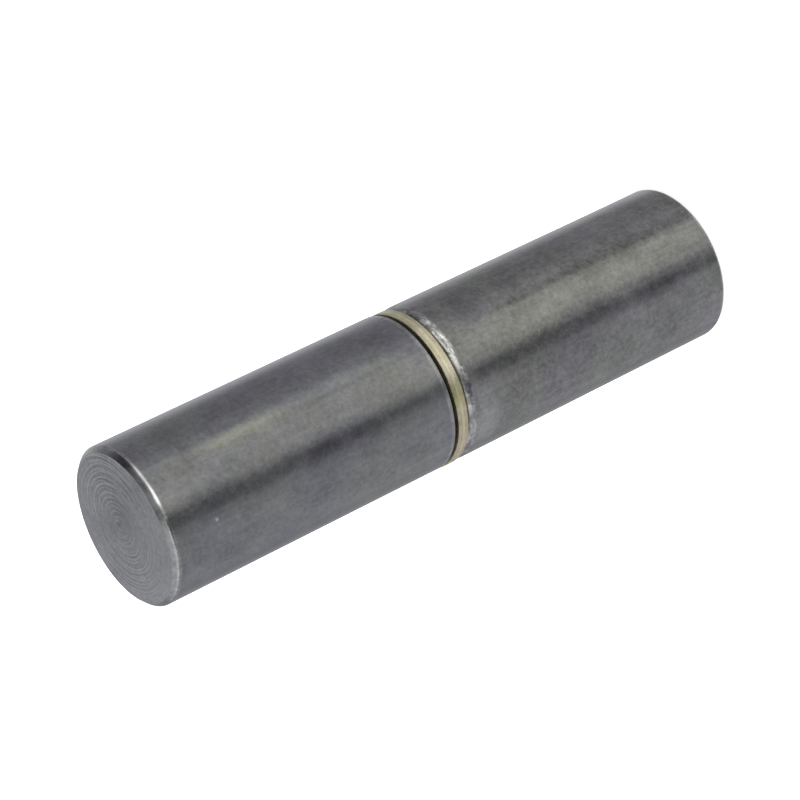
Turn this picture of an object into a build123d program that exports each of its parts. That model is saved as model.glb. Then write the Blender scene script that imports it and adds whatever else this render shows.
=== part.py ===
from build123d import *
import math
import os

# Weld-on barrel hinge: two turned steel barrels end to end on one pin, with a brass washer between.
# Millimetres, +Z up along the hinge's axis, origin at the centre of the lower barrel's flat end.

# Driving dimensions of the barrels
barrel_diameter = 19.0
lower_length = 39.5
upper_length = 38.7
foot_chamfer = 0.3
joint_radius = 1.4
head_chamfer = 0.6
skirt_radius = 0.2

# Driving dimensions of the pin and of the two blind holes that take it
pin_diameter = 11.0
pin_depth = 24.0
pin_reach = 25.0
pin_chamfer = 0.8
press_relief = 1.0
running_clearance = 0.05
mouth_chamfer = 0.5
pilot_diameter = 5.0
drill_point_angle = 118.0

# Driving dimensions of the washer, and the gap that the pin's length leaves above it
washer_thickness = 1.4
washer_edge_break = 0.1
washer_clearance = 0.15
washer_gap = 0.4

# Radii and heights that follow from them
barrel_radius = barrel_diameter / 2
pin_radius = pin_diameter / 2
socket_radius = pin_radius + running_clearance
washer_bottom = lower_length
washer_top = washer_bottom + washer_thickness
upper_bottom = washer_top + washer_gap
upper_top = upper_bottom + upper_length
pin_bottom = lower_length - pin_depth
pin_top = washer_top + pin_reach


def turned(*outline):
    """A solid of revolution about the hinge's axis, from its half section as (radius, height) points."""
    return revolve(Plane.XZ * make_face(Polyline(*outline, close=True)), Axis.Z)


def point_height(radius):
    """Height of the cone that a drill of this radius leaves at the end of its hole."""
    return radius / math.tan(math.radians(drill_point_angle / 2))


def outer_rim(barrel, end):
    """The outermost of the round edges at one end of a barrel: 0 for its lower end, -1 for its upper one."""
    return barrel.edges().filter_by(GeomType.CIRCLE).group_by(Axis.Z)[end].sort_by(SortBy.RADIUS)[-1]


def make_lower_barrel():
    """Barrel with a blind hole from the top, into which the pin is pressed down to its own depth."""
    hole_bottom = pin_bottom - press_relief
    blank = turned(
        (0, 0),
        (barrel_radius - foot_chamfer, 0),
        (barrel_radius, foot_chamfer),
        (barrel_radius, lower_length),
        (pin_radius + mouth_chamfer, lower_length),
        (pin_radius, lower_length - mouth_chamfer),
        (pin_radius, hole_bottom),
        (0, hole_bottom - point_height(pin_radius)),
    )
    return fillet(outer_rim(blank, -1), joint_radius)


def make_hinge_pin():
    """Plain round pin, chamfered at both ends, whose upper end carries the upper barrel."""
    return turned(
        (0, pin_bottom),
        (pin_radius - pin_chamfer, pin_bottom),
        (pin_radius, pin_bottom + pin_chamfer),
        (pin_radius, pin_top - pin_chamfer),
        (pin_radius - pin_chamfer, pin_top),
        (0, pin_top),
    )


def make_brass_washer():
    """Ring as wide as the barrels, loose on the pin, with its four edges broken."""
    hole_radius = pin_radius + washer_clearance
    return turned(
        (hole_radius + washer_edge_break, washer_bottom),
        (barrel_radius - washer_edge_break, washer_bottom),
        (barrel_radius, washer_bottom + washer_edge_break),
        (barrel_radius, washer_top - washer_edge_break),
        (barrel_radius - washer_edge_break, washer_top),
        (hole_radius + washer_edge_break, washer_top),
        (hole_radius, washer_top - washer_edge_break),
        (hole_radius, washer_bottom + washer_edge_break),
    )


def make_upper_barrel():
    """Barrel with a blind socket from below, faced flat where it stands on the pin's end."""
    pilot_radius = pilot_diameter / 2
    blank = turned(
        (socket_radius + mouth_chamfer, upper_bottom),
        (barrel_radius, upper_bottom),
        (barrel_radius, upper_top - head_chamfer),
        (barrel_radius - head_chamfer, upper_top),
        (0, upper_top),
        (0, pin_top + point_height(pilot_radius)),
        (pilot_radius, pin_top),
        (socket_radius, pin_top),
        (socket_radius, upper_bottom + mouth_chamfer),
    )
    return fillet(outer_rim(blank, 0), skirt_radius)


pieces = {
    "lower_barrel": make_lower_barrel(),
    "hinge_pin": make_hinge_pin(),
    "brass_washer": make_brass_washer(),
    "upper_barrel": make_upper_barrel(),
}

os.makedirs("parts", exist_ok=True)
for node, piece in pieces.items():
    export_step(piece, f"parts/{node}.step")
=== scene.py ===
import bmesh
import bpy
import math
import numpy as np
from mathutils import Euler, Matrix, Vector
from mathutils.noise import noise as noise_at


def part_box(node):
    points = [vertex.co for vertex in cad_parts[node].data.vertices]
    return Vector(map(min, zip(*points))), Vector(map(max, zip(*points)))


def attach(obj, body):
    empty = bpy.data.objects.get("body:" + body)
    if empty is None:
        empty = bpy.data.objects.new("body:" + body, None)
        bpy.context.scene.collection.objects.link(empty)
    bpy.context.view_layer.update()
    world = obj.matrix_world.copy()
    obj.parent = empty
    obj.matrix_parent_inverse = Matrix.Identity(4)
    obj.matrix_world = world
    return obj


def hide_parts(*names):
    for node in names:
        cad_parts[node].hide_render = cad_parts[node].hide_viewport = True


# Looks of a weld-on barrel hinge: two turned steel barrels on a hidden pin, with a brass washer between.
# Metres, in the part's own frame: +Z up along the hinge's axis, standing on the lower barrel's flat end.

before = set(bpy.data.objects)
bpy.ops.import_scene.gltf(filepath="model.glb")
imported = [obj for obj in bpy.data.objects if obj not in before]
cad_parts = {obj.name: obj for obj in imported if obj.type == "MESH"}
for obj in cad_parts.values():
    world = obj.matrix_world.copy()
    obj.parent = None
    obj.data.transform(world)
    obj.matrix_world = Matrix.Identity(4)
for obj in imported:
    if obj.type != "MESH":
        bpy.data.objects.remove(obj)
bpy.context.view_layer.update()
mm = 0.001

# Heights of the pieces, from the frame, and the radii of the barrels and the pin
lower_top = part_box("lower_barrel")[1].z
pin_bottom, pin_top = (corner.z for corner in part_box("hinge_pin"))
washer_bottom, washer_top = (corner.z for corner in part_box("brass_washer"))
upper_bottom, upper_top = (corner.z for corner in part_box("upper_barrel"))
ring_middle = (washer_bottom + washer_top) / 2
barrel_radius = 9.5 * mm
pin_radius = 5.5 * mm

# Edges and holes
foot_chamfer = 0.3 * mm
joint_radius = 1.4 * mm
head_chamfer = 0.6 * mm
head_rounding = 0.36 * mm
skirt_radius = 0.2 * mm
mouth_chamfer = 0.5 * mm
running_clearance = 0.05 * mm
pilot_radius = 2.5 * mm
press_relief = 1.0 * mm
drill_half_angle = math.radians(59)
pin_chamfer = 0.8 * mm
washer_clearance = 0.15 * mm
washer_edge_break = 0.1 * mm
edge_rounding = 0.08 * mm

# How finely the pieces are turned: faces round the axis, along a rounded corner and across the faced end,
# whose even division stops at this distance from its edge
segments = 384
corner_steps = 4
rim_steps = 6
joint_steps = 14
facing_steps = 190
face_margin = 0.1 * mm
same_place = 1e-7

# The loose washer lies a little off the axis
washer_shift = (-0.06 * mm, -0.02 * mm)

# The lower barrel's rounded joint edge is a little rough, with a finer share, and smooth at both its ends
chatter_size = 0.55 * mm
chatter_depth = 0.04 * mm
chatter_middle = 0.5
chatter_flatness = 0.6
chatter_fade_below = 0.3 * mm
chatter_fade_above = 0.15 * mm
chatter_inner_radius = pin_radius + 2 * mm
finer_chatter_size = chatter_size / 2.3
finer_chatter_share = 0.6
finer_chatter_shift = 7

# Facing marks on the upper barrel's end run round a centre just off the barrel's own: spiral grooves of
# several pitches, as (pitch, half depth), and a few deeper rings with one steep side, as (radius, depth)
facing_centre = (0.7 * mm, 0.5 * mm)
facing_grooves = [
    (0.95 * mm, 0.010 * mm),
    (0.55 * mm, 0.010 * mm),
    (0.43 * mm, 0.008 * mm),
    (0.33 * mm, 0.003 * mm),
]
facing_rings = [
    (0.35 * mm, 0.012 * mm),
    (1.0 * mm, 0.010 * mm),
    (1.45 * mm, 0.016 * mm),
    (2.0 * mm, 0.018 * mm),
    (2.45 * mm, 0.026 * mm),
    (3.1 * mm, 0.040 * mm),
    (3.55 * mm, 0.024 * mm),
    (4.7 * mm, 0.030 * mm),
    (6.0 * mm, 0.034 * mm),
    (6.85 * mm, 0.014 * mm),
]

# The grooves come and go in patches and in waves, and stray from a true spiral by these shares of a pitch.
# The steps set each groove's pattern apart from the next one's.
facing_patch = 2.2 * mm
patch_contrast = 0.9
patch_step = 3.1
swell_middle = 0.45
swell_swing = 0.3
swell_length = 1.7 * mm
swell_step = 2.1
round_sway = 0.12
spiral_sway = 0.1
spiral_sway_rate = 0.9

# The rings stray by these lengths, and each is deeper on one side of the centre
ring_steep = 0.14 * mm
ring_gentle = 0.3 * mm
ring_sway = 0.05 * mm
ring_sway_step = 2.3
ring_fine_sway = 0.03 * mm
ring_mean = 0.7
ring_swing = 0.3
ring_turn = 0.9
ring_turn_step = 1.7

# All these marks are scaled by the first value. Past a radius, those towards +X are deeper by the second one
# and those towards -X shallower. They fade out at the centre, where there is a pip, and at the rim.
marks_depth = 1.12
side_depth = 0.45
side_from = 3.5 * mm
side_over = 2 * mm
facing_fade = 0.25 * mm
pip_radius = 0.25 * mm
pip_depth = 0.05 * mm

# A dent in the rim of that end, at this angle round the axis
dent_angle = math.radians(-83)
dent_half_width = math.radians(6)
dent_depth = 0.07 * mm
dent_reach = 0.35 * mm

# Camera: the photograph's angle, with the standing hinge turned in the picture to lie as it does there
picture_width = 800
focal_px = 3245.6
sensor_width = 36
camera_distance = 369.9 * mm
camera_elevation = math.radians(30.28)
camera_roll = math.radians(-115.89)
object_offset_px = (11.8, 11.3)
nearest_seen, furthest_seen = 0.01, 10

# Floor and lamp, in metres and watts
floor_half_width = 1.5
floor_colour = (0.85, 0.85, 0.85, 1)
floor_glow = 0.62
lamp_place = (-0.25, 0.15, 0.6)
lamp_width = 0.4
lamp_watts = 2.0


# Outlines for the lathe

def arc_corner(before, corner, after, radius, steps):
    """Points that round one corner of an outline with an arc of this radius."""
    before, corner, after = (np.array(p, float) for p in (before, corner, after))
    into = (corner - before) / np.linalg.norm(corner - before)
    out = (after - corner) / np.linalg.norm(after - corner)
    turn = math.acos(np.clip(into @ out, -1, 1))
    reach = radius * math.tan(turn / 2)
    start, end = corner - into * reach, corner + out * reach
    inward = out - into
    centre = corner + inward / np.linalg.norm(inward) * radius / math.cos(turn / 2)
    points = []
    for t in np.linspace(0, 1, steps + 1):
        chord = start + (end - start) * t - centre
        points.append(centre + chord / np.linalg.norm(chord) * radius)
    return points


def rounded(outline, steps=corner_steps):
    """An outline of (radius, height, rounding) points as plain points, with guard points beside each arc."""
    points = []
    for i, (r, z, rounding) in enumerate(outline):
        corner = np.array((r, z))
        if rounding == 0:
            points.append(corner)
            continue
        before = np.array(outline[i - 1][:2])
        after = np.array(outline[(i + 1) % len(outline)][:2])
        arc = arc_corner(before, corner, after, rounding, steps)
        guard = min(rounding, edge_rounding) / 4
        points.append(arc[0] - (corner - before) / np.linalg.norm(corner - before) * guard)
        points.extend(arc)
        points.append(arc[-1] + (after - corner) / np.linalg.norm(after - corner) * guard)
    return points


def stretch(start, end, count):
    """Points between two ends of a straight run, both left out."""
    start, end = np.array(start), np.array(end)
    return [start + (end - start) * (i + 1) / (count + 1) for i in range(count)]


# Meshes

def lathe(name, points, shape=None, closed=False):
    """A mesh turned about Z from (radius, height) points. shape moves its points once they are placed."""
    profile = np.array(points)
    angle = np.arange(segments) * 2 * math.pi / segments
    rings = np.empty((len(profile), segments, 3))
    rings[..., 0] = profile[:, None, 0] * np.cos(angle)
    rings[..., 1] = profile[:, None, 0] * np.sin(angle)
    rings[..., 2] = profile[:, None, 1]
    if shape:
        rings = shape(rings)
    index = np.arange(len(profile) * segments).reshape(len(profile), segments)
    on_axis = profile[:, 0] < same_place
    for row in np.flatnonzero(on_axis):
        index[row] = index[row, 0]
    faces = []
    rows = range(len(profile)) if closed else range(len(profile) - 1)
    for row in rows:
        a, b = index[row], index[(row + 1) % len(profile)]
        for i in range(segments):
            j = (i + 1) % segments
            corners = [a[i], a[j], b[j], b[i]]
            faces.append([c for k, c in enumerate(corners) if c != corners[k - 1]])
    mesh = bpy.data.meshes.new(name)
    mesh.from_pydata(rings.reshape(-1, 3).tolist(), [], faces)
    mesh.validate()
    clean(mesh)
    mesh.shade_smooth()
    piece = bpy.data.objects.new(name, mesh)
    bpy.context.scene.collection.objects.link(piece)
    return piece


def clean(mesh):
    """Deletes the spare points left where an outline meets the axis, and turns every face outwards."""
    work = bmesh.new()
    work.from_mesh(mesh)
    loose = [v for v in work.verts if not v.link_faces]
    bmesh.ops.delete(work, geom=loose, context="VERTS")
    bmesh.ops.recalc_face_normals(work, faces=work.faces)
    work.to_mesh(mesh)
    work.free()


def groove_depths(points, radius, angle):
    """Depth of the spiral grooves at points, given their radius and angle round the facing centre."""
    depth = np.zeros_like(radius)
    places = points[..., :2].reshape(-1, 2) / facing_patch
    for i, (pitch, half_depth) in enumerate(facing_grooves):
        patches = np.reshape([noise_at((x, y, patch_step * i)) for x, y in places], radius.shape)
        turns = radius / pitch - angle / (2 * math.pi)
        sway = round_sway * np.sin(angle * (2 + i) + 2 * i)
        sway += spiral_sway * np.sin(turns * spiral_sway_rate + i)
        wave = np.sin((2 - i % 2) * angle + radius / swell_length + swell_step * i)
        swell = (swell_middle + swell_swing * wave + patch_contrast * patches).clip(0, 1)
        depth += half_depth * swell * (1 - np.cos(2 * math.pi * (turns + sway)))
    return depth


def ring_depths(radius, angle):
    """Depth of the deeper rings, each gentle on its inner side and steep on its outer side."""
    depth = np.zeros_like(radius)
    for i, (ring, deepest) in enumerate(facing_rings):
        sway = ring_sway * np.sin(angle + ring_sway_step * i) + ring_fine_sway * np.sin(3 * angle + i)
        past = radius - ring - sway
        strength = ring_mean + ring_swing * np.cos(angle + ring_turn * math.sin(ring_turn_step * i))
        inner_side = np.exp(past.clip(max=0) / ring_gentle)
        outer_side = (1 - past / ring_steep).clip(0, 1)
        depth += deepest * strength * inner_side * outer_side
    return depth


def facing_marks(points):
    """Cuts the tool marks and the pip into the points of the upper barrel's end, and dents its rim."""
    x = points[..., 0] - facing_centre[0]
    y = points[..., 1] - facing_centre[1]
    radius = np.hypot(x, y)
    angle = np.arctan2(y, x)
    across = np.hypot(points[..., 0], points[..., 1])
    on_face = np.abs(points[..., 2] - upper_top) < same_place
    to_one_side = np.cos(angle) * np.clip((radius - side_from) / side_over, 0, 1)
    lowered = groove_depths(points, radius, angle) + ring_depths(radius, angle)
    lowered *= marks_depth + side_depth * to_one_side
    lowered *= np.clip((barrel_radius - head_chamfer - across) / facing_fade, 0, 1)
    lowered *= np.clip(radius / facing_fade, 0, 1)
    lowered += pip_depth * np.exp(-((radius / pip_radius) ** 2))
    points[..., 2] -= np.where(on_face, lowered, 0)
    return dented_rim(points, across)


def dented_rim(points, across):
    """Dents the rim of the upper barrel's end, given the distance of its points from the axis."""
    from_rim = np.hypot(across - barrel_radius, points[..., 2] - upper_top + head_chamfer)
    bearing = np.arctan2(points[..., 1], points[..., 0]) - dent_angle
    share = np.exp(-((bearing / dent_half_width) ** 2)) * np.clip(1 - from_rim / dent_reach, 0, 1)
    dent = dent_depth * share
    points[..., :2] *= (1 - dent / across.clip(min=mm))[..., None]
    points[..., 2] -= dent
    return points


def chattered_edge(points):
    """Leaves the lower barrel's rounded joint edge a little uneven, as from a worn tool."""
    for ring in points:
        for point in ring:
            x, y, z = point
            across = math.hypot(x, y)
            from_below = (z - lower_top + joint_radius) / chatter_fade_below
            from_above = (lower_top - z) / chatter_fade_above
            share = min(from_below, from_above, 1)
            if across < chatter_inner_radius or share <= 0:
                continue
            coarse, fine = point / chatter_size, point / finer_chatter_size
            bump = noise_at((coarse[0], coarse[1], coarse[2] / chatter_flatness))
            bump += finer_chatter_share * noise_at((fine[0] + finer_chatter_shift, fine[1], fine[2]))
            kept = 1 - chatter_depth * share * (chatter_middle + bump) / across
            point[0], point[1] = x * kept, y * kept
    return points


def shifted_washer(points):
    """Moves the washer to where it lies on the pin, within its clearance."""
    points[..., 0] += washer_shift[0]
    points[..., 1] += washer_shift[1]
    return points


def make_upper_barrel():
    """The upper barrel: its faced end, its sides, and the blind socket with the pilot drill's hole."""
    face_edge = barrel_radius - head_chamfer
    socket_radius = pin_radius + running_clearance
    pilot_top = pin_top + pilot_radius / math.tan(drill_half_angle)
    face = stretch((0, upper_top), (face_edge - face_margin, upper_top), facing_steps)
    rim = rounded([
        (face_edge - face_margin, upper_top, 0),
        (face_edge, upper_top, edge_rounding),
        (barrel_radius, upper_top - head_chamfer, head_rounding),
        (barrel_radius, upper_bottom, skirt_radius),
        (socket_radius + mouth_chamfer, upper_bottom, edge_rounding),
        (socket_radius, upper_bottom + mouth_chamfer, edge_rounding),
        (socket_radius, pin_top, edge_rounding),
        (pilot_radius, pin_top, edge_rounding),
        (0, pilot_top, 0),
    ], rim_steps)
    return lathe("upper_barrel_turned", [(0, upper_top)] + face + rim, facing_marks)


def make_lower_barrel():
    """The lower barrel: its foot, its rounded joint edge, and the blind hole that takes the pin."""
    hole_bottom = pin_bottom - press_relief
    foot = rounded([
        (0, 0, 0),
        (barrel_radius - foot_chamfer, 0, edge_rounding),
        (barrel_radius, foot_chamfer, edge_rounding),
        (barrel_radius, lower_top, 0),
    ])[:-1]
    joint = rounded([
        (barrel_radius, foot_chamfer, 0),
        (barrel_radius, lower_top, joint_radius),
        (pin_radius, lower_top, 0),
    ], joint_steps)[1:-1]
    bore = rounded([
        (barrel_radius, lower_top, 0),
        (pin_radius + mouth_chamfer, lower_top, edge_rounding),
        (pin_radius, lower_top - mouth_chamfer, edge_rounding),
        (pin_radius, hole_bottom, edge_rounding),
        (0, hole_bottom - pin_radius / math.tan(drill_half_angle), 0),
    ])[1:]
    return lathe("lower_barrel_turned", foot + joint + bore, chattered_edge)


def make_pin():
    """The pin, chamfered at both ends."""
    rim = rounded([
        (0, pin_bottom, 0),
        (pin_radius - pin_chamfer, pin_bottom, edge_rounding),
        (pin_radius, pin_bottom + pin_chamfer, edge_rounding),
        (pin_radius, pin_top - pin_chamfer, edge_rounding),
        (pin_radius - pin_chamfer, pin_top, edge_rounding),
        (0, pin_top, 0),
    ])
    return lathe("hinge_pin_ground", rim)


def make_washer():
    """The washer, as wide as the barrels and loose on the pin."""
    hole_radius = pin_radius + washer_clearance
    rim = rounded([
        (hole_radius, washer_bottom, washer_edge_break),
        (barrel_radius, washer_bottom, washer_edge_break),
        (barrel_radius, washer_top, washer_edge_break),
        (hole_radius, washer_top, washer_edge_break),
    ])
    return lathe("brass_washer_turned", rim, shifted_washer, closed=True)


# Shader nodes

def fill(tree, socket, value):
    """Links a socket to another socket, or gives it a plain value."""
    if isinstance(value, bpy.types.NodeSocket):
        tree.links.new(value, socket)
    else:
        socket.default_value = value


def add(tree, kind, settings=None, **values):
    """A shader node with its settings and its sockets filled in. i0, i1 and so on name a socket by place."""
    node = tree.nodes.new(kind)
    for key, value in (settings or {}).items():
        setattr(node, key, value)
    for key, value in values.items():
        place = int(key[1:]) if key[1:].isdigit() else key.replace("_", " ")
        fill(tree, node.inputs[place], value)
    return node


def maths(tree, operation, a, b=0.0, c=0.0):
    return add(tree, "ShaderNodeMath", {"operation": operation}, i0=a, i1=b, i2=c).outputs[0]


def product(tree, result, *factors):
    for factor in factors:
        result = maths(tree, "MULTIPLY", result, factor)
    return result


def distance_from(tree, value, middle):
    return maths(tree, "ABSOLUTE", maths(tree, "SUBTRACT", value, middle))


def vector_maths(tree, operation, a, b=(0, 0, 0), output="Vector"):
    return add(tree, "ShaderNodeVectorMath", {"operation": operation}, i0=a, i1=b).outputs[output]


def scaled(tree, colour, factor):
    """A colour made lighter or darker by a factor."""
    return add(tree, "ShaderNodeVectorMath", {"operation": "SCALE"}, i0=colour, Scale=factor).outputs[0]


def noise(tree, where, size, detail=2.0, rough=0.5, squash=(1, 1, 1), shift=(0, 0, 0)):
    """Noise whose features are about this size in metres, drawn out along an axis by squash."""
    place = add(tree, "ShaderNodeMapping", Vector=where, Scale=squash, Location=shift).outputs[0]
    made = add(tree, "ShaderNodeTexNoise", Vector=place, Scale=1 / size, Detail=detail, Roughness=rough)
    return made.outputs[0]


def spread(tree, value, low, high, to_low=0.0, to_high=1.0, smooth=False):
    """A value mapped from one range to another, held at its ends."""
    kind = {"interpolation_type": "SMOOTHSTEP" if smooth else "LINEAR"}
    return add(tree, "ShaderNodeMapRange", kind, i0=value, i1=low, i2=high, i3=to_low, i4=to_high).outputs[0]


def blend_colours(tree, share, first, second):
    """The first colour where share is 0 and the second where it is 1."""
    return add(tree, "ShaderNodeMix", {"data_type": "RGBA"}, i0=share, i6=first, i7=second).outputs[2]


def mottle(tree, *terms):
    """The sum of (noise, weight) terms, each counted from its noise's middle of 0.5."""
    result = 0.0
    for value, weight in terms:
        centred = maths(tree, "SUBTRACT", value, 0.5)
        result = maths(tree, "MULTIPLY_ADD", centred, weight, result)
    return result


def radius_at(tree, where):
    """Distance from the hinge's axis of the point being shaded."""
    return vector_maths(tree, "LENGTH", vector_maths(tree, "MULTIPLY", where, (1, 1, 0)), output="Value")


def height_at(tree, where):
    """Height of the point being shaded, or the upward part of a direction."""
    return add(tree, "ShaderNodeSeparateXYZ", Vector=where).outputs[2]


def near_point(tree, where, centre, across, along, inner=0.2):
    """1 at a place, out to the inner share of its half sizes across and along the axis, and 0 past them."""
    offset = vector_maths(tree, "SUBTRACT", where, centre)
    in_half_sizes = vector_maths(tree, "DIVIDE", offset, (across, across, along))
    away = vector_maths(tree, "LENGTH", in_half_sizes, output="Value")
    return spread(tree, away, inner, 1.0, 1.0, 0.0, smooth=True)


def on_side(angle, height):
    """The point of the barrels' side at this angle in degrees and this height."""
    a = math.radians(angle)
    return barrel_radius * math.cos(a), barrel_radius * math.sin(a), height


def new_material(name):
    """A metal material, with its node tree, its shader and the place being shaded, in the hinge's frame."""
    material = bpy.data.materials.new(name)
    material.use_nodes = True
    tree = material.node_tree
    shader = tree.nodes["Principled BSDF"]
    shader.inputs["Metallic"].default_value = 1.0
    where = add(tree, "ShaderNodeTexCoord").outputs["Object"]
    return material, tree, shader, where


# Dark steel

# Colours of the drawn sides, what multiplies them on each barrel, and colours of the places that differ
cool_steel = (0.198, 0.197, 0.217, 1)
warm_steel = (0.212, 0.215, 0.212, 1)
upper_cast = (1, 1, 1, 1)
lower_cast = (1.02, 1.01, 0.965, 1)
faced_steel = (0.167, 0.168, 0.178)
pip_colour = (0.11, 0.11, 0.12, 1)
# Bare steel of the joint edge's flecks: partly wear, partly painted highlight
bare_steel = (0.74, 0.74, 0.72, 1)
# Painted light in the gap: the lighter, warmer colour of the upper barrel's end above the washer
gap_light_colour = (0.56, 0.54, 0.48, 1)
worn_steel = (0.32, 0.32, 0.32, 1)

# Its noises: how large they are, how much they lighten and darken it, and the middle range of some of them
patina_size, patina_contrast, patina_range = 7 * mm, 1.22, (0.35, 0.65)
grain_size, grain_contrast = 0.52 * mm, 0.45
drawn_size, drawn_contrast, drawn_squash = 0.5 * mm, 0.3, (1, 1, 0.05)
cloud_size, cloud_range, cloud_shift = 9 * mm, (0.36, 0.64), (0.05, 0, 0)
upper_contrast, lower_contrast = 1.0, 1.32
steel_roughness = (0.22, 0.30)
grain_bump = 0.002 * mm
patina_bump = 0.03 * mm
bump_strength = 0.5

# Faint curled scratches, in patches. They follow a noise's middle and fade out over this band beside it.
curl_size, curl_shift = 1.5 * mm, (0.02, 0, 0)
curl_patch, curl_patch_shift, curl_patch_range = 3.5 * mm, (0, 0.03, 0), (0.52, 0.62)
curl_band = (0.004, 0.014)
curl_lightness = 0.20
curl_share_of_upper = 0.4

# The faced end's colour starts and is full at these depths below it, is darker in its middle than at its
# rim, and is dull round one place. The pip's colour reaches past the pip.
face_start, face_full = 0.12 * mm, 0.06 * mm
face_in_middle, face_at_rim = 0.86, 1.10
dull_place = (1.3 * mm, -0.2 * mm, upper_top)
dull_half_width, dull_lightness = 3.2 * mm, -0.08
pip_colour_radius = pip_radius * 1.4
face_reach = 1 * mm

# Bare flecks on the lower barrel's rounded joint edge, which are fewer near its top, and end above it. They
# are most round one place, where they also make a painted highlight, the edge's sparkle.
fleck_size, fleck_squash = 0.7 * mm, (0.5, 0.5, 1.6)
fleck_range, fleck_strength = (0.43, 0.60), 0.8
flecks_start, flecks_full = joint_radius, joint_radius * 0.8
flecks_thin_from, flecks_thin_to, flecks_thinned = 0.5 * mm, 0.25 * mm, 0.25
flecks_end_from, flecks_end_to = 0.1 * mm, 0.2 * mm
# Where the flecks gather as a painted highlight
highlight_flecks = on_side(-69, lower_top - joint_radius / 2)
highlight_flecks_across, highlight_flecks_along, highlight_flecks_inner = 5 * mm, 2 * mm, 0.4
fewest_flecks = 0.35

# The upper barrel's end above the washer is painted lighter and warmer up to here: painted light in the gap
underside_from, underside_to = 0.02 * mm, 0.06 * mm

# Rims worn to brighter metal, as (height, width), the share of the width that is worn most, and how the
# patina spares them
worn_rims = [
    (upper_top - head_chamfer, 0.42 * mm),
    (upper_bottom + 0.38 * mm, 0.3 * mm),
    (foot_chamfer, 0.3 * mm),
]
worn_core = 0.3
spared_range, spared_wear = (0.4, 0.6), 0.4

# Lighter and darker places on the barrels' sides, such as painted highlights and shade at the rim and the
# joint edge, painted light near the foot, a burr's painted glint, a nick, streaks and clouds, as (angle round
# the axis in degrees, height, half width, half length, lightness)
marks_and_painted_light = [
    # Painted highlight along the upper barrel's rim, and painted shade beside it on the chamfer
    (-79.0, 79.35 * mm, 2.00 * mm, 0.25 * mm, 2.0),
    (-62.0, 79.35 * mm, 2.60 * mm, 0.25 * mm, 0.7),
    (-66.0, 79.80 * mm, 2.60 * mm, 0.35 * mm, -0.35),
    (-111.4, 73.8 * mm, 0.30 * mm, 0.30 * mm, 1.3),
    # A burr at the rim, shown by its painted glint
    (-95.2, 79.3 * mm, 0.15 * mm, 0.15 * mm, 1.0),
    (-62.5, 60.0 * mm, 0.90 * mm, 24.0 * mm, 0.20),
    (-68.5, 51.0 * mm, 0.60 * mm, 11.0 * mm, -0.08),
    (-140.0, 36.8 * mm, 4.4 * mm, 3.0 * mm, 0.52),
    # Painted shade at two places on the lower barrel's rounded joint edge, and a painted highlight where it
    # sparkles
    (-136.0, 39.0 * mm, 2.6 * mm, 0.60 * mm, -0.50),
    (-115.0, 39.1 * mm, 1.3 * mm, 0.50 * mm, -0.25),
    (-52.0, 39.1 * mm, 2.0 * mm, 0.50 * mm, 0.40),
    (-63.5, 6.0 * mm, 1.40 * mm, 36.0 * mm, -0.26),
    (-65.5, 18.0 * mm, 0.60 * mm, 22.0 * mm, -0.12),
    (-79.0, 22.0 * mm, 2.00 * mm, 18.0 * mm, 0.16),
    (-106.0, 12.0 * mm, 2.20 * mm, 19.0 * mm, 0.24),
    (-79.0, 6.3 * mm, 0.10 * mm, 3.6 * mm, 0.25),
    (-109.0, 9.0 * mm, 0.10 * mm, 1.8 * mm, 0.25),
    (-118.0, 8.3 * mm, 0.35 * mm, 0.8 * mm, 0.15),
    (-114.6, 17.0 * mm, 0.30 * mm, 0.8 * mm, 0.15),
    (-92.0, 27.2 * mm, 0.15 * mm, 0.2 * mm, 0.5),
    (-100.0, 46.0 * mm, 1.80 * mm, 8.0 * mm, 0.32),
    (-106.0, 36.3 * mm, 3.60 * mm, 4.5 * mm, 0.38),
    (-101.0, 3.0 * mm, 2.40 * mm, 7.0 * mm, 0.30),
    # Painted light: the lower barrel lighter near its foot on two sides
    (-148.0, 1.0 * mm, 7.00 * mm, 4.5 * mm, 0.24),
    (-18.0, 1.0 * mm, 3.00 * mm, 4.5 * mm, 0.25),
    (-40.0, 11.0 * mm, 3.00 * mm, 7.0 * mm, 0.26),
    (-79.0, 43.5 * mm, 2.50 * mm, 4.0 * mm, 0.17),
    (-121.0, 43.0 * mm, 4.00 * mm, 3.0 * mm, 0.15),
    (-88.0, 71.0 * mm, 2.20 * mm, 9.0 * mm, -0.13),
]

# A yellowish streak with a fainter one round it along the upper barrel, and a warmer film along the lower
# one, as (angle, height, half width, half length, colour)
films = [
    (-66.0, 66.0 * mm, 1.60 * mm, 9.0 * mm, (0.232, 0.234, 0.219, 1)),
    (-65.5, 67.0 * mm, 0.95 * mm, 7.0 * mm, (0.280, 0.283, 0.252, 1)),
    (-78.0, 18.0 * mm, 3.20 * mm, 30.0 * mm, (0.216, 0.213, 0.205, 1)),
]


def side_tint(tree, where, lower):
    """Colour of the drawn sides: cool and warm clouds, a warmer cast on the lower barrel, and the films."""
    cloud = noise(tree, where, cloud_size, detail=2, shift=cloud_shift)
    tint = blend_colours(tree, spread(tree, cloud, *cloud_range), cool_steel, warm_steel)
    tint = vector_maths(tree, "MULTIPLY", tint, blend_colours(tree, lower, upper_cast, lower_cast))
    for angle, height, across, along, colour in films:
        share = near_point(tree, where, on_side(angle, height), across, along)
        tint = blend_colours(tree, share, tint, colour)
    return tint


def curled_scratches(tree, where, lower):
    """How much lighter the curled scratches are, which lie mostly on the lower barrel."""
    curls = noise(tree, where, curl_size, detail=1, shift=curl_shift)
    patches = noise(tree, where, curl_patch, detail=1, shift=curl_patch_shift)
    lines = spread(tree, distance_from(tree, curls, 0.5), *curl_band, curl_lightness, 0.0)
    in_patches = spread(tree, patches, *curl_patch_range)
    return product(tree, lines, in_patches, spread(tree, lower, 0, 1, curl_share_of_upper, 1.0))


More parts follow.
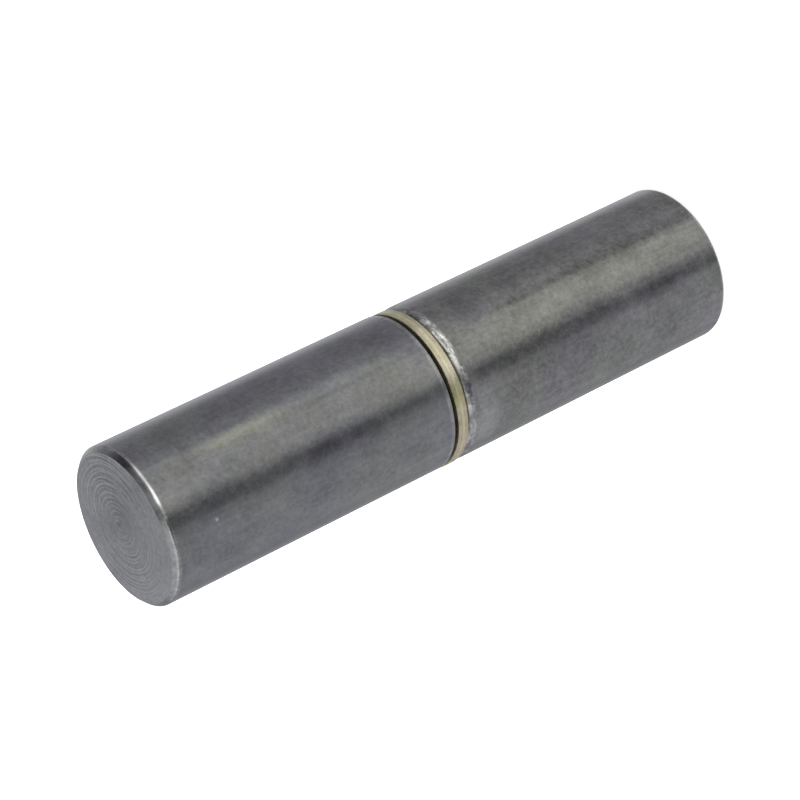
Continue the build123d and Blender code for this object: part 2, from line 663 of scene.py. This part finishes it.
def with_faced_end(tree, where, radius, height, tint):
    """The colour given, with that of the upper barrel's faced end and of its pip laid over it."""
    face = spread(tree, height, upper_top - face_start, upper_top - face_full, smooth=True)
    from_middle = spread(tree, radius, 0, barrel_radius, face_in_middle, face_at_rim)
    dull = near_point(tree, where, dull_place, dull_half_width, face_reach)
    face_lightness = maths(tree, "MULTIPLY_ADD", dull, dull_lightness, from_middle)
    tint = blend_colours(tree, face, tint, scaled(tree, faced_steel, face_lightness))
    pip = near_point(tree, where, (*facing_centre, upper_top), pip_colour_radius, face_reach)
    return blend_colours(tree, pip, tint, pip_colour)


def joint_flecks_and_highlight(tree, where, height):
    """How bare the lower barrel's rounded joint edge is, with the flecks gathered round one place as a
    painted highlight.
    """
    edge = spread(tree, height, lower_top - flecks_start, lower_top - flecks_full, smooth=True)
    thinner = spread(
        tree, height, lower_top - flecks_thin_from, lower_top - flecks_thin_to, 1.0, flecks_thinned
    )
    below_end = spread(tree, height, lower_top + flecks_end_from, lower_top + flecks_end_to, 1.0, 0.0)
    bare = noise(tree, where, fleck_size, detail=3, rough=0.7, squash=fleck_squash)
    flecks = spread(tree, bare, *fleck_range, 0.0, fleck_strength)
    most = near_point(
        tree, where, highlight_flecks, highlight_flecks_across, highlight_flecks_along, inner=highlight_flecks_inner
    )
    return product(tree, edge, thinner, below_end, flecks, spread(tree, most, 0, 1, fewest_flecks, 1.0))


def painted_gap_light(tree, height):
    """1 on the upper barrel's end above the washer, which takes the gap's painted light, and 0 elsewhere."""
    end = spread(tree, height, upper_bottom + underside_from, upper_bottom + underside_to, 1.0, 0.0)
    return product(tree, end, spread(tree, height, washer_bottom, washer_top))


def rim_wear(tree, radius, height, patina):
    """How worn the barrels' rims are, less so where the patina's noise is low."""
    worn = 0.0
    out = maths(tree, "SUBTRACT", radius, barrel_radius)
    out_squared = maths(tree, "MULTIPLY", out, out)
    for rim_height, width in worn_rims:
        up = maths(tree, "SUBTRACT", height, rim_height)
        away = maths(tree, "SQRT", maths(tree, "ADD", out_squared, maths(tree, "MULTIPLY", up, up)))
        rim = spread(tree, away, width * worn_core, width, 1.0, 0.0, smooth=True)
        worn = maths(tree, "MAXIMUM", worn, rim)
    return product(tree, worn, spread(tree, patina, *spared_range, spared_wear, 1.0))


def dark_steel():
    """Drawn bar gone dark under a film of oil: satin, cloudy and finely speckled, bare where it is turned,
    with painted highlights, shade and light on its rims, its joint edge and its end above the washer.
    """
    material, tree, shader, where = new_material("dark_satin_steel")
    radius = radius_at(tree, where)
    height = height_at(tree, where)
    patina = noise(tree, where, patina_size, detail=5, rough=0.95)
    grain = noise(tree, where, grain_size, detail=1.2, rough=0.6)
    drawn = noise(tree, where, drawn_size, detail=2, squash=drawn_squash)
    lower = spread(tree, height, lower_top, upper_bottom, 1.0, 0.0)

    tint = side_tint(tree, where, lower)
    tint = with_faced_end(tree, where, radius, height, tint)
    # Bare flecks on the joint edge: partly wear, and where they gather, a painted highlight
    tint = blend_colours(tree, joint_flecks_and_highlight(tree, where, height), tint, bare_steel)
    # Painted light in the gap, on the upper barrel's end above the washer
    tint = blend_colours(tree, painted_gap_light(tree, height), tint, gap_light_colour)
    tint = blend_colours(tree, rim_wear(tree, radius, height, patina), tint, worn_steel)

    mottled = mottle(tree, (patina, patina_contrast), (grain, grain_contrast), (drawn, drawn_contrast))
    contrast = spread(tree, lower, 0, 1, upper_contrast, lower_contrast)
    lightness = maths(tree, "MULTIPLY_ADD", mottled, contrast, 1.0)
    lightness = maths(tree, "ADD", lightness, curled_scratches(tree, where, lower))
    # Lighter and darker places, among them painted highlights, painted shade and painted light
    for angle, mark_height, across, along, strength in marks_and_painted_light:
        spot = near_point(tree, where, on_side(angle, mark_height), across, along)
        lightness = maths(tree, "MULTIPLY_ADD", spot, strength, lightness)
    fill(tree, shader.inputs["Base Color"], scaled(tree, tint, lightness))
    fill(tree, shader.inputs["Roughness"], spread(tree, patina, *patina_range, *steel_roughness))

    fine = add(tree, "ShaderNodeBump", Strength=bump_strength, Distance=grain_bump, Height=grain).outputs[0]
    waves = add(
        tree, "ShaderNodeBump", Strength=bump_strength, Distance=patina_bump, Height=patina, Normal=fine
    )
    fill(tree, shader.inputs["Normal"], waves.outputs[0])
    return material


# Ground steel of the pin

ground_dark = (0.5, 0.5, 0.51, 1)
ground_light = (0.6, 0.6, 0.6, 1)
ground_line_size, ground_line_squash = 0.2 * mm, (0.2, 0.2, 3)
ground_line_range = (0.3, 0.7)
ground_roughness = (0.18, 0.3)


def bright_steel():
    """Ground steel, with fine lines round it."""
    material, tree, shader, where = new_material("ground_steel")
    lines = noise(tree, where, ground_line_size, squash=ground_line_squash)
    fill(tree, shader.inputs["Base Color"], blend_colours(tree, lines, ground_dark, ground_light))
    fill(tree, shader.inputs["Roughness"], spread(tree, lines, *ground_line_range, *ground_roughness))
    return material


# Brass

dark_brass = (0.41, 0.385, 0.25, 1)
pale_brass = (0.53, 0.48, 0.345, 1)
brass_metallic = 0.85
brass_roughness = (0.35, 0.45)
brass_cloud_size, brass_cloud_range = 3.5 * mm, (0.35, 0.65)
brass_line_size, brass_line_contrast, brass_line_range = 0.25 * mm, 0.5, (0.3, 0.7)
brass_line_squash = (0.12, 0.12, 1.6)
brass_grain_size, brass_grain_contrast = 0.45 * mm, 0.9
brass_grain_squash = (0.7, 0.7, 1.2)
brass_bump = 0.01 * mm

# A painted highlight round the ring's middle, and painted shade along its edges that starts and is full at
# these distances from the middle
middle_highlight_half_width = (0.05 * mm, 0.25 * mm)
middle_highlight_lightness = 0.22
edge_shade_start, edge_shade_full = 0.55 * mm, 0.66 * mm
upper_edge_shade, lower_edge_shade = 0.3, 0.25

# Two painted highlights and two stained places on the ring, as (angle, half width, colour)
stain_and_highlight_strength = 0.8
stain_and_highlight_half_height = 1.4 * mm
ring_stains_and_highlights = [
    # The first and the third are painted highlights, the second and the fourth stains
    (-88.0, 3.0 * mm, (0.65, 0.60, 0.46, 1)),
    (-107.0, 2.3 * mm, (0.41, 0.40, 0.21, 1)),
    (-60.0, 2.4 * mm, (0.58, 0.535, 0.40, 1)),
    (-142.0, 4.0 * mm, (0.48, 0.41, 0.31, 1)),
]


def brass_tone(tree, where):
    """Colour of the ring: darker and paler clouds, with its stained places and its painted highlights."""
    cloud = noise(tree, where, brass_cloud_size, detail=3)
    tone = blend_colours(tree, spread(tree, cloud, *brass_cloud_range), dark_brass, pale_brass)
    # Stains, and painted highlights at two places
    for angle, across, colour in ring_stains_and_highlights:
        share = near_point(tree, where, on_side(angle, ring_middle), across, stain_and_highlight_half_height)
        tone = blend_colours(tree, maths(tree, "MULTIPLY", share, stain_and_highlight_strength), tone, colour)
    return tone


def brass_edge_shade(tree, height):
    """How much painted shade darkens the ring along its upper and its lower edge, where it meets the barrels.
    """
    upper_start, upper_full = ring_middle + edge_shade_start, ring_middle + edge_shade_full
    lower_start, lower_full = ring_middle - edge_shade_start, ring_middle - edge_shade_full
    upper_edge = spread(tree, height, upper_start, upper_full, 0.0, upper_edge_shade, smooth=True)
    lower_edge = spread(tree, height, lower_full, lower_start, lower_edge_shade, 0.0)
    return maths(tree, "ADD", upper_edge, lower_edge)


def brass():
    """Turned brass ring, a little less than fully metallic: fine lines round it, cloudy, with a painted
    highlight round its middle and painted shade along its edges.
    """
    material, tree, shader, where = new_material("turned_brass")
    height = height_at(tree, where)
    lines = noise(tree, where, brass_line_size, squash=brass_line_squash)
    grain = noise(tree, where, brass_grain_size, detail=3, rough=0.7, squash=brass_grain_squash)
    from_middle = distance_from(tree, height, ring_middle)
    # A painted highlight round the ring's middle
    middle_highlight = spread(tree, from_middle, *middle_highlight_half_width, middle_highlight_lightness, 0.0, smooth=True)
    mottled = mottle(tree, (lines, brass_line_contrast), (grain, brass_grain_contrast))
    lightness = maths(tree, "ADD", maths(tree, "ADD", mottled, 1.0), middle_highlight)
    # Painted shade along the ring's edges, where it meets the barrels
    lightness = maths(tree, "SUBTRACT", lightness, brass_edge_shade(tree, height))
    fill(tree, shader.inputs["Base Color"], scaled(tree, brass_tone(tree, where), lightness))
    fill(tree, shader.inputs["Metallic"], brass_metallic)
    fill(tree, shader.inputs["Roughness"], spread(tree, lines, *brass_line_range, *brass_roughness))

    bump = add(tree, "ShaderNodeBump", Strength=bump_strength, Distance=brass_bump, Height=lines)
    fill(tree, shader.inputs["Normal"], bump.outputs[0])
    return material


# Studio

white = (1, 1, 1, 1)

# Soft cards of light and shade all round, in degrees: azimuth, elevation, half width, half height, softness
# across, softness along, and colour. Later ones lie over earlier ones. The barrels' sides show those below
# the horizon, and their chamfers and ends those above it.
surround = (0.60, 0.61, 0.64, 1)
cards = [
    (180, -40, 42, 50, 16, 10, (0.73, 0.74, 0.765)),
    (105, -40, 34, 50, 10, 10, (0.47, 0.48, 0.50)),
    (-64, -40, 30, 50, 7, 10, (0.98, 0.99, 0.94)),
    (-20, -40, 16, 50, 4, 10, (0.66, 0.67, 0.69)),
    (18, -40, 31, 50, 14, 10, (0.46, 0.46, 0.49)),
    (62, -40, 16, 50, 12, 10, (0.77, 0.78, 0.82)),
    (66, 6, 14, 16, 10, 6, (0.98, 0.98, 1.00)),
    (-165, 47, 105, 32, 15, 10, (1.40, 1.40, 1.43)),
    (-60, -10, 38, 10, 6, 6, (1.10, 1.10, 1.08)),
    (-60, 23, 38, 26, 6, 6, (1.30, 1.30, 1.26)),
    (-60, 75, 38, 28, 8, 6, (0.75, 0.75, 0.75)),
    (8, 36, 21, 18, 7, 7, (0.07, 0.07, 0.08)),
    (-92, 60, 14, 12, 8, 6, (0.50, 0.50, 0.50)),
    (-122, 14, 14, 26, 5, 8, (0.18, 0.18, 0.20)),
    (-110, -5, 10, 68, 8, 8, (0.18, 0.18, 0.20)),
    (-150, -80, 60, 28, 20, 6, (1.00, 1.00, 0.98)),
]


def make_camera():
    """The photograph's camera. It looks at the middle of the hinge, which lies off the picture's centre."""
    data = bpy.data.cameras.new("camera")
    data.sensor_width = sensor_width
    data.lens = focal_px / picture_width * sensor_width
    data.clip_start, data.clip_end = nearest_seen, furthest_seen
    camera = bpy.data.objects.new("camera", data)
    bpy.context.scene.collection.objects.link(camera)
    middle = Vector((0, 0, upper_top / 2))
    back = Vector((0, -math.cos(camera_elevation), math.sin(camera_elevation)))
    upright = Euler((math.pi / 2 - camera_elevation, 0, 0)).to_matrix()
    roll = Matrix.Rotation(camera_roll, 3, "Z")
    yaw = Matrix.Rotation(math.atan2(object_offset_px[0], focal_px), 3, "Y")
    pitch = Matrix.Rotation(-math.atan2(object_offset_px[1], focal_px), 3, "X")
    turned = upright @ roll @ yaw @ pitch
    camera.matrix_world = Matrix.Translation(middle + back * camera_distance) @ turned.to_4x4()
    bpy.context.scene.camera = camera


def make_floor():
    """A plain white floor. Its glow for the camera alone keeps it white without more light on the hinge."""
    half = floor_half_width
    corners = [(-half, -half, 0), (half, -half, 0), (half, half, 0), (-half, half, 0)]
    mesh = bpy.data.meshes.new("floor")
    mesh.from_pydata(corners, [], [(0, 1, 2, 3)])
    floor = bpy.data.objects.new("floor", mesh)
    bpy.context.scene.collection.objects.link(floor)
    floor.visible_glossy = False
    material = bpy.data.materials.new("white_floor")
    material.use_nodes = True
    tree = material.node_tree
    shader = tree.nodes["Principled BSDF"]
    shader.inputs["Base Color"].default_value = floor_colour
    shader.inputs["Roughness"].default_value = 1.0
    shader.inputs["Specular IOR Level"].default_value = 0.0
    shader.inputs["Emission Color"].default_value = white
    seen = add(tree, "ShaderNodeLightPath").outputs["Is Camera Ray"]
    fill(tree, shader.inputs["Emission Strength"], maths(tree, "MULTIPLY", seen, floor_glow))
    mesh.materials.append(material)


def in_degrees(tree, angle):
    return maths(tree, "MULTIPLY", angle, 180 / math.pi)


def soft_card(tree, away, half_size, softness):
    """1 within half_size and 0 outside it, with a soft edge."""
    return spread(tree, away, half_size - softness, half_size + softness, 1.0, 0.0, smooth=True)


def make_world():
    """White for the camera, and the surround with its cards for everything else."""
    world = bpy.data.worlds.new("studio")
    bpy.context.scene.world = world
    world.use_nodes = True
    tree = world.node_tree
    way = add(tree, "ShaderNodeTexCoord").outputs["Generated"]
    height = in_degrees(tree, maths(tree, "ARCSINE", height_at(tree, way)))
    colour = surround
    for azimuth, elevation, half_width, half_height, soft_across, soft_along, tone in cards:
        a = math.radians(azimuth)
        ahead = vector_maths(tree, "DOT_PRODUCT", way, (math.cos(a), math.sin(a), 0), "Value")
        aside = vector_maths(tree, "DOT_PRODUCT", way, (-math.sin(a), math.cos(a), 0), "Value")
        across = maths(tree, "ABSOLUTE", in_degrees(tree, maths(tree, "ARCTAN2", aside, ahead)))
        along = distance_from(tree, height, elevation)
        in_height = soft_card(tree, along, half_height, soft_along)
        inside = product(tree, in_height, soft_card(tree, across, half_width, soft_across))
        colour = blend_colours(tree, inside, colour, (*tone, 1))
    seen = add(tree, "ShaderNodeLightPath").outputs["Is Camera Ray"]
    backdrop = tree.nodes["Background"]
    fill(tree, backdrop.inputs["Color"], blend_colours(tree, seen, colour, white))
    backdrop.inputs["Strength"].default_value = 1.0


def make_lamp():
    """A soft round lamp above the hinge, which leaves no spot of its own in the metal."""
    data = bpy.data.lights.new("overhead", "AREA")
    data.shape = "DISK"
    data.size = lamp_width
    data.energy = lamp_watts
    lamp = bpy.data.objects.new("overhead", data)
    bpy.context.scene.collection.objects.link(lamp)
    lamp.location = lamp_place
    lamp.visible_glossy = False
    towards = Vector((0, 0, upper_top / 2)) - Vector(lamp_place)
    lamp.rotation_mode = "QUATERNION"
    lamp.rotation_quaternion = towards.to_track_quat("-Z", "Y")


steel = dark_steel()
plan = [
    (make_upper_barrel(), "upper_barrel", "upper", "dark_steel", steel),
    (make_lower_barrel(), "lower_barrel", "lower", "dark_steel", steel),
    (make_pin(), "hinge_pin", "lower", "bright_steel", bright_steel()),
    (make_washer(), "brass_washer", "washer", "brass", brass()),
]
for piece, node, body, slot, material in plan:
    piece.data.materials.append(material)
    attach(piece, body)
    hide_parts(node)

make_floor()
make_world()
make_lamp()
make_camera()
bpy.context.scene.view_settings.view_transform = "Standard"
